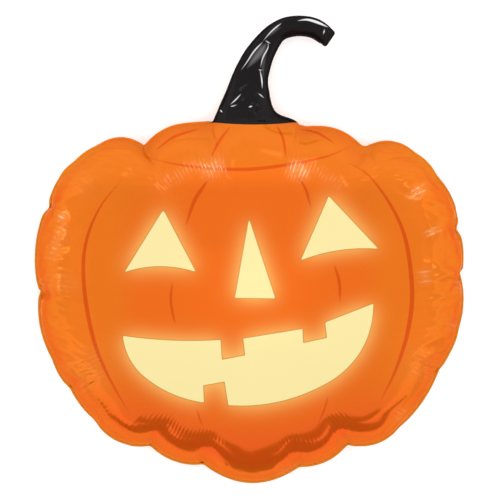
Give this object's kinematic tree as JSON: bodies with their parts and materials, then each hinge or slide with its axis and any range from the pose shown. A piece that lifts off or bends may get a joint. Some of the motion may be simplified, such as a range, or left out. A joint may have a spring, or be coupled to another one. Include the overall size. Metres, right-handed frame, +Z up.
{
  "type": "pumpkin-shaped foil balloon",
  "caption": "Filled foil balloon shaped as a grinning pumpkin lantern with a curled stem, its welded rim gathered into puckers, lying on its back.",
  "frame": {"origin": "under the middle of the balloon's bounding box, on the surface that it lies on", "axes": "+Z up, out of the printed face; +Y from the underside towards the stem; +X to the right of someone who looks at the face with the stem up"},
  "size_m": [0.6776, 0.7372, 0.327],
  "materials": {
    "printed_film": "glossy metallised film, orange print with a pale yellow face, black on the stem"
  },
  "bodies": {
    "root": {"foil_balloon": "printed_film"}
  },
  "joints": []
}
